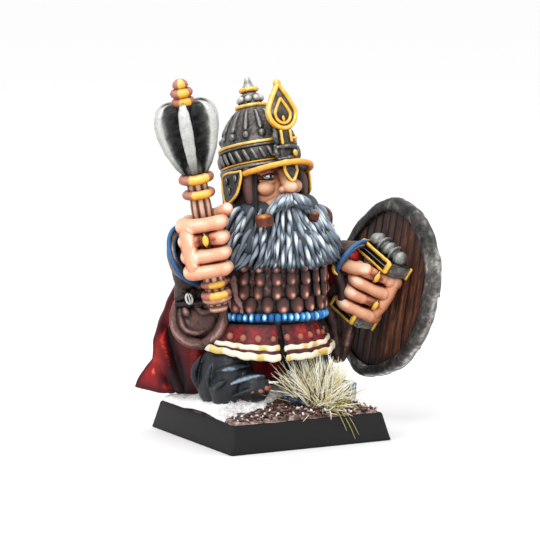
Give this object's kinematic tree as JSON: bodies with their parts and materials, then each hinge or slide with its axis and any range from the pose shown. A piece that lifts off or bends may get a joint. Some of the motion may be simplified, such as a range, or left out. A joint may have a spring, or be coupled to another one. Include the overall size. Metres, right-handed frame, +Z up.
{
  "type": "painted dwarf miniature",
  "caption": "Painted resin tabletop figure of an armoured dwarf with a flanged mace and a round shield, on a square slotted base.",
  "frame": {"origin": "centre of the square base's underside, on the table", "axes": "+Z up the figure; -Y the way the figure faces; -X the figure's right hand, which holds the mace"},
  "size_m": [0.0332, 0.0218, 0.0404],
  "materials": {
    "base_shell": "matt black moulded plastic",
    "slot_tab": "matt black moulded plastic",
    "ground_layer": "textured scenic dressing, painted and dry-brushed",
    "snow_patch": "textured scenic dressing, painted and dry-brushed",
    "rock_large": "textured scenic dressing, painted and dry-brushed",
    "rock_small": "textured scenic dressing, painted and dry-brushed",
    "grass_tuft": "static-grass fibre blades in a glue foot",
    "right_trouser_leg": "cast resin with layered acrylic paint",
    "left_trouser_leg": "cast resin with layered acrylic paint",
    "right_boot": "cast resin with layered acrylic paint",
    "left_boot": "cast resin with layered acrylic paint",
    "boot_studs": "cast resin with layered acrylic paint",
    "torso": "cast resin with layered acrylic paint",
    "coat_skirt": "cast resin with layered acrylic paint",
    "skirt_trim_upper": "cast resin with layered acrylic paint",
    "skirt_trim_lower": "cast resin with layered acrylic paint",
    "skirt_studs": "cast resin with layered acrylic paint",
    "bead_belt": "cast resin with layered acrylic paint",
    "scale_armour": "cast resin with layered acrylic paint",
    "cape": "cast resin with layered acrylic paint",
    "left_pauldron": "cast resin with layered acrylic paint",
    "right_pauldron": "cast resin with layered acrylic paint",
    "right_sleeve": "cast resin with layered acrylic paint",
    "right_sleeve_drape": "cast resin with layered acrylic paint",
    "right_cuff": "cast resin with layered acrylic paint",
    "right_cuff_piping": "cast resin with layered acrylic paint",
    "right_hand": "cast resin with layered acrylic paint",
    "right_finger_ring": "cast resin with layered acrylic paint",
    "left_sleeve": "cast resin with layered acrylic paint",
    "left_sleeve_drape": "cast resin with layered acrylic paint",
    "left_cuff": "cast resin with layered acrylic paint",
    "left_cuff_piping": "cast resin with layered acrylic paint",
    "left_hand": "cast resin with layered acrylic paint",
    "left_finger_rings": "cast resin with layered acrylic paint",
    "mace_shaft": "cast resin with layered acrylic paint",
    "mace_flanges": "cast resin with layered acrylic paint",
    "mace_finial": "cast resin with layered acrylic paint",
    "mace_collars": "cast resin with layered acrylic paint",
    "mace_pommel": "cast resin with layered acrylic paint",
    "shield_boards": "cast resin with layered acrylic paint",
    "shield_rim": "cast resin with layered acrylic paint",
    "grip_bar": "cast resin with layered acrylic paint",
    "grip_guard_upper": "cast resin with layered acrylic paint",
    "grip_guard_lower": "cast resin with layered acrylic paint",
    "grip_guard_trims": "cast resin with layered acrylic paint",
    "ringed_knob": "cast resin with layered acrylic paint",
    "head": "cast resin with layered acrylic paint",
    "eyes": "cast resin with layered acrylic paint",
    "helmet_dome": "cast resin with layered acrylic paint",
    "helmet_band": "cast resin with layered acrylic paint",
    "helmet_gold_rings": "cast resin with layered acrylic paint",
    "helmet_finial": "cast resin with layered acrylic paint",
    "helmet_brim": "cast resin with layered acrylic paint",
    "nasal_guard": "cast resin with layered acrylic paint",
    "plume_plate": "cast resin with layered acrylic paint",
    "cheek_guards": "cast resin with layered acrylic paint",
    "leather_coif": "cast resin with layered acrylic paint",
    "beard": "cast resin with layered acrylic paint",
    "moustache": "cast resin with layered acrylic paint",
    "beard_clasps": "cast resin with layered acrylic paint"
  },
  "bodies": {
    "root": {"base_shell": "base_shell", "slot_tab": "slot_tab", "ground_layer": "ground_layer", "snow_patch": "snow_patch", "rock_large": "rock_large", "rock_small": "rock_small", "grass_tuft": "grass_tuft", "right_trouser_leg": "right_trouser_leg", "left_trouser_leg": "left_trouser_leg", "right_boot": "right_boot", "left_boot": "left_boot", "boot_studs": "boot_studs", "torso": "torso", "coat_skirt": "coat_skirt", "skirt_trim_upper": "skirt_trim_upper", "skirt_trim_lower": "skirt_trim_lower", "skirt_studs": "skirt_studs", "bead_belt": "bead_belt", "scale_armour": "scale_armour", "cape": "cape", "left_pauldron": "left_pauldron", "right_pauldron": "right_pauldron", "right_sleeve": "right_sleeve", "right_sleeve_drape": "right_sleeve_drape", "right_cuff": "right_cuff", "right_cuff_piping": "right_cuff_piping", "right_hand": "right_hand", "right_finger_ring": "right_finger_ring", "left_sleeve": "left_sleeve", "left_sleeve_drape": "left_sleeve_drape", "left_cuff": "left_cuff", "left_cuff_piping": "left_cuff_piping", "left_hand": "left_hand", "left_finger_rings": "left_finger_rings", "mace_shaft": "mace_shaft", "mace_flanges": "mace_flanges", "mace_finial": "mace_finial", "mace_collars": "mace_collars", "mace_pommel": "mace_pommel", "shield_boards": "shield_boards", "shield_rim": "shield_rim", "grip_bar": "grip_bar", "grip_guard_upper": "grip_guard_upper", "grip_guard_lower": "grip_guard_lower", "grip_guard_trims": "grip_guard_trims", "ringed_knob": "ringed_knob", "head": "head", "eyes": "eyes", "helmet_dome": "helmet_dome", "helmet_band": "helmet_band", "helmet_gold_rings": "helmet_gold_rings", "helmet_finial": "helmet_finial", "helmet_brim": "helmet_brim", "nasal_guard": "nasal_guard", "plume_plate": "plume_plate", "cheek_guards": "cheek_guards", "leather_coif": "leather_coif", "beard": "beard", "moustache": "moustache", "beard_clasps": "beard_clasps"}
  },
  "joints": []
}
